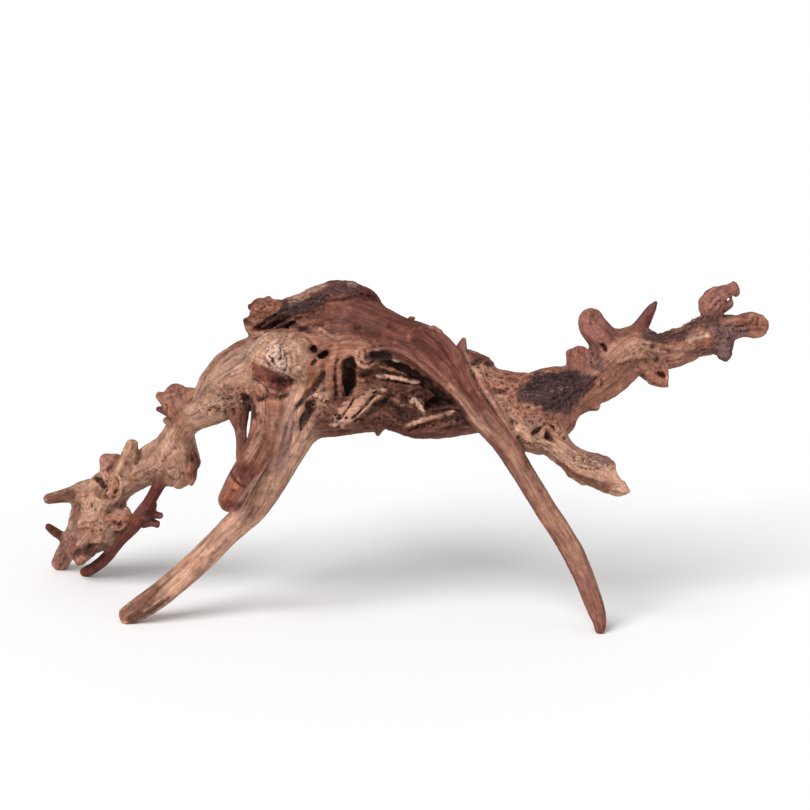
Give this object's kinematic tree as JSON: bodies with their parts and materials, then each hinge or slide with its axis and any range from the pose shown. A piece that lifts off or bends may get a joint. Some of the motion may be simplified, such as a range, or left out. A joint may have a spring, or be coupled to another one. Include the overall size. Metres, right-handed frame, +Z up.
{
  "type": "driftwood root",
  "caption": "Weathered driftwood root: a gnarled arched trunk that stands on bent legs and reaches out in knobbly branches.",
  "frame": {"origin": "on the plane that the feet rest on, under the middle of the root's box", "axes": "+X along the root's length, towards the branch that ends in a forked knob; +Z up; -Y towards the side the picture shows"},
  "size_m": [0.6034, 0.1931, 0.2791],
  "materials": {
    "weathered_wood": "dry weathered wood, reddish brown and tan, with dark bark patches, cracks and bleached ridges, matt"
  },
  "bodies": {
    "root": {"driftwood_root": "weathered_wood"}
  },
  "joints": []
}
